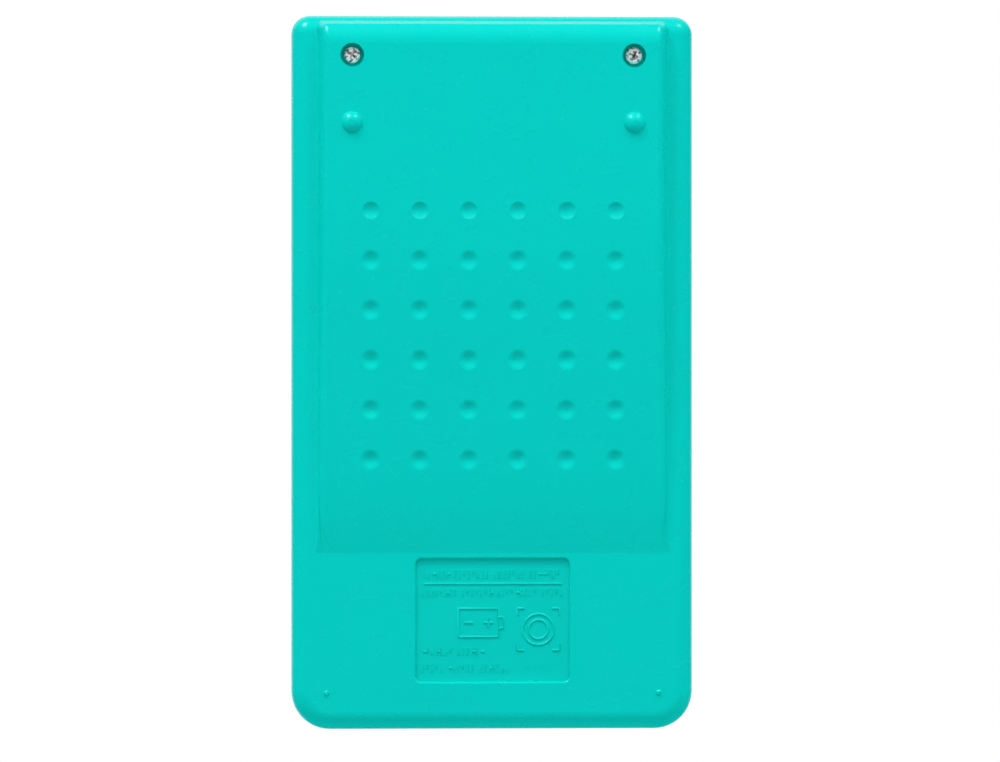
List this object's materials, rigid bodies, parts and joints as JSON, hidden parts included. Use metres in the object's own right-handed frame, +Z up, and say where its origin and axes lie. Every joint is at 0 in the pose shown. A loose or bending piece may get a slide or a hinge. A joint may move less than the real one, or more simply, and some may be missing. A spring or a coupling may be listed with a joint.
{
  "type": "pocket calculator",
  "caption": "Slim pocket calculator with sprung push keys, liquid crystal display and a wedge-shaped dimpled back standing on small moulded feet.",
  "frame": {"origin": "on the surface it stands on, below the middle of its outline", "axes": "+Y towards the display end, +Z up out of the surface, +X to the right of the user facing the keys; the case itself is tipped about X by the angle at which it stands on its feet"},
  "size_m": [0.065, 0.1156, 0.0129],
  "materials": {
    "case_plastic": "satin moulded, turquoise",
    "window_clear": "clear acrylic, polished",
    "lcd_glass": "grey-green polarised glass",
    "holder_plastic": "moulded",
    "foam": "closed-cell foam",
    "connector_rubber": "layered silicone",
    "board_laminate": "solder-masked laminate",
    "chip_resin": "cast resin",
    "capacitor_body": "ceramic with tinned ends",
    "resistor_body": "ceramic with tinned ends",
    "membrane_rubber": "silicone",
    "pill_rubber": "carbon-loaded silicone",
    "cell_steel": "plated steel can",
    "contact_metal": "plated spring strip",
    "screw_metal": "nickel plated",
    "key_white": "satin moulded",
    "key_grey": "satin moulded",
    "key_accent": "satin moulded"
  },
  "bodies": {
    "casing": {"back_cover": "case_plastic", "front_cover": "case_plastic", "display_window": "window_clear", "lcd_panel": "lcd_glass", "lcd_holder": "holder_plastic", "lcd_foam_pad": "foam", "lcd_connector": "connector_rubber", "circuit_board": "board_laminate", "controller_chip": "chip_resin", "capacitors": "capacitor_body", "resistors": "resistor_body", "keypad_membrane": "membrane_rubber", "contact_pills": "pill_rubber", "button_cell": "cell_steel", "battery_contact_positive": "contact_metal", "battery_contact_negative": "contact_metal", "case_screws": "screw_metal", "board_screws": "screw_metal"},
    "key_square_root": {"key_square_root": "key_grey"},
    "key_percent": {"key_percent": "key_grey"},
    "key_memory_recall": {"key_memory_recall": "key_grey"},
    "key_memory_minus": {"key_memory_minus": "key_grey"},
    "key_memory_plus": {"key_memory_plus": "key_grey"},
    "key_sign": {"key_sign": "key_grey"},
    "key_7": {"key_7": "key_white"},
    "key_8": {"key_8": "key_white"},
    "key_9": {"key_9": "key_white"},
    "key_divide": {"key_divide": "key_white"},
    "key_off": {"key_off": "key_grey"},
    "key_4": {"key_4": "key_white"},
    "key_5": {"key_5": "key_white"},
    "key_6": {"key_6": "key_white"},
    "key_multiply": {"key_multiply": "key_white"},
    "key_clear": {"key_clear": "key_grey"},
    "key_1": {"key_1": "key_white"},
    "key_2": {"key_2": "key_white"},
    "key_3": {"key_3": "key_white"},
    "key_minus": {"key_minus": "key_white"},
    "key_all_clear": {"key_all_clear": "key_accent"},
    "key_0": {"key_0": "key_white"},
    "key_decimal": {"key_decimal": "key_white"},
    "key_equals": {"key_equals": "key_white"},
    "key_plus": {"key_plus": "key_white"}
  },
  "joints": [
    {"name": "key_square_root_press", "type": "slide", "parent": "casing", "child": "key_square_root", "axis": [0, 0.0395, -0.9992], "range_m": [0, 0.0008], "stiffness_N_per_m": 350, "springref_m": -0.0005, "deforming": ["keypad_membrane"]},
    {"name": "key_percent_press", "type": "slide", "parent": "casing", "child": "key_percent", "axis": [0, 0.0395, -0.9992], "range_m": [0, 0.0008], "stiffness_N_per_m": 350, "springref_m": -0.0005, "deforming": ["keypad_membrane"]},
    {"name": "key_memory_recall_press", "type": "slide", "parent": "casing", "child": "key_memory_recall", "axis": [0, 0.0395, -0.9992], "range_m": [0, 0.0008], "stiffness_N_per_m": 350, "springref_m": -0.0005, "deforming": ["keypad_membrane"]},
    {"name": "key_memory_minus_press", "type": "slide", "parent": "casing", "child": "key_memory_minus", "axis": [0, 0.0395, -0.9992], "range_m": [0, 0.0008], "stiffness_N_per_m": 350, "springref_m": -0.0005, "deforming": ["keypad_membrane"]},
    {"name": "key_memory_plus_press", "type": "slide", "parent": "casing", "child": "key_memory_plus", "axis": [0, 0.0395, -0.9992], "range_m": [0, 0.0008], "stiffness_N_per_m": 350, "springref_m": -0.0005, "deforming": ["keypad_membrane"]},
    {"name": "key_sign_press", "type": "slide", "parent": "casing", "child": "key_sign", "axis": [0, 0.0395, -0.9992], "range_m": [0, 0.0008], "stiffness_N_per_m": 350, "springref_m": -0.0005, "deforming": ["keypad_membrane"]},
    {"name": "key_7_press", "type": "slide", "parent": "casing", "child": "key_7", "axis": [0, 0.0395, -0.9992], "range_m": [0, 0.0008], "stiffness_N_per_m": 350, "springref_m": -0.0005, "deforming": ["keypad_membrane"]},
    {"name": "key_8_press", "type": "slide", "parent": "casing", "child": "key_8", "axis": [0, 0.0395, -0.9992], "range_m": [0, 0.0008], "stiffness_N_per_m": 350, "springref_m": -0.0005, "deforming": ["keypad_membrane"]},
    {"name": "key_9_press", "type": "slide", "parent": "casing", "child": "key_9", "axis": [0, 0.0395, -0.9992], "range_m": [0, 0.0008], "stiffness_N_per_m": 350, "springref_m": -0.0005, "deforming": ["keypad_membrane"]},
    {"name": "key_divide_press", "type": "slide", "parent": "casing", "child": "key_divide", "axis": [0, 0.0395, -0.9992], "range_m": [0, 0.0008], "stiffness_N_per_m": 350, "springref_m": -0.0005, "deforming": ["keypad_membrane"]},
    {"name": "key_off_press", "type": "slide", "parent": "casing", "child": "key_off", "axis": [0, 0.0395, -0.9992], "range_m": [0, 0.0008], "stiffness_N_per_m": 350, "springref_m": -0.0005, "deforming": ["keypad_membrane"]},
    {"name": "key_4_press", "type": "slide", "parent": "casing", "child": "key_4", "axis": [0, 0.0395, -0.9992], "range_m": [0, 0.0008], "stiffness_N_per_m": 350, "springref_m": -0.0005, "deforming": ["keypad_membrane"]},
    {"name": "key_5_press", "type": "slide", "parent": "casing", "child": "key_5", "axis": [0, 0.0395, -0.9992], "range_m": [0, 0.0008], "stiffness_N_per_m": 350, "springref_m": -0.0005, "deforming": ["keypad_membrane"]},
    {"name": "key_6_press", "type": "slide", "parent": "casing", "child": "key_6", "axis": [0, 0.0395, -0.9992], "range_m": [0, 0.0008], "stiffness_N_per_m": 350, "springref_m": -0.0005, "deforming": ["keypad_membrane"]},
    {"name": "key_multiply_press", "type": "slide", "parent": "casing", "child": "key_multiply", "axis": [0, 0.0395, -0.9992], "range_m": [0, 0.0008], "stiffness_N_per_m": 350, "springref_m": -0.0005, "deforming": ["keypad_membrane"]},
    {"name": "key_clear_press", "type": "slide", "parent": "casing", "child": "key_clear", "axis": [0, 0.0395, -0.9992], "range_m": [0, 0.0008], "stiffness_N_per_m": 350, "springref_m": -0.0005, "deforming": ["keypad_membrane"]},
    {"name": "key_1_press", "type": "slide", "parent": "casing", "child": "key_1", "axis": [0, 0.0395, -0.9992], "range_m": [0, 0.0008], "stiffness_N_per_m": 350, "springref_m": -0.0005, "deforming": ["keypad_membrane"]},
    {"name": "key_2_press", "type": "slide", "parent": "casing", "child": "key_2", "axis": [0, 0.0395, -0.9992], "range_m": [0, 0.0008], "stiffness_N_per_m": 350, "springref_m": -0.0005, "deforming": ["keypad_membrane"]},
    {"name": "key_3_press", "type": "slide", "parent": "casing", "child": "key_3", "axis": [0, 0.0395, -0.9992], "range_m": [0, 0.0008], "stiffness_N_per_m": 350, "springref_m": -0.0005, "deforming": ["keypad_membrane"]},
    {"name": "key_minus_press", "type": "slide", "parent": "casing", "child": "key_minus", "axis": [0, 0.0395, -0.9992], "range_m": [0, 0.0008], "stiffness_N_per_m": 350, "springref_m": -0.0005, "deforming": ["keypad_membrane"]},
    {"name": "key_all_clear_press", "type": "slide", "parent": "casing", "child": "key_all_clear", "axis": [0, 0.0395, -0.9992], "range_m": [0, 0.0008], "stiffness_N_per_m": 350, "springref_m": -0.0005, "deforming": ["keypad_membrane"]},
    {"name": "key_0_press", "type": "slide", "parent": "casing", "child": "key_0", "axis": [0, 0.0395, -0.9992], "range_m": [0, 0.0008], "stiffness_N_per_m": 350, "springref_m": -0.0005, "deforming": ["keypad_membrane"]},
    {"name": "key_decimal_press", "type": "slide", "parent": "casing", "child": "key_decimal", "axis": [0, 0.0395, -0.9992], "range_m": [0, 0.0008], "stiffness_N_per_m": 350, "springref_m": -0.0005, "deforming": ["keypad_membrane"]},
    {"name": "key_equals_press", "type": "slide", "parent": "casing", "child": "key_equals", "axis": [0, 0.0395, -0.9992], "range_m": [0, 0.0008], "stiffness_N_per_m": 350, "springref_m": -0.0005, "deforming": ["keypad_membrane"]},
    {"name": "key_plus_press", "type": "slide", "parent": "casing", "child": "key_plus", "axis": [0, 0.0395, -0.9992], "range_m": [0, 0.0008], "stiffness_N_per_m": 350, "springref_m": -0.0005, "deforming": ["keypad_membrane"]}
  ]
}
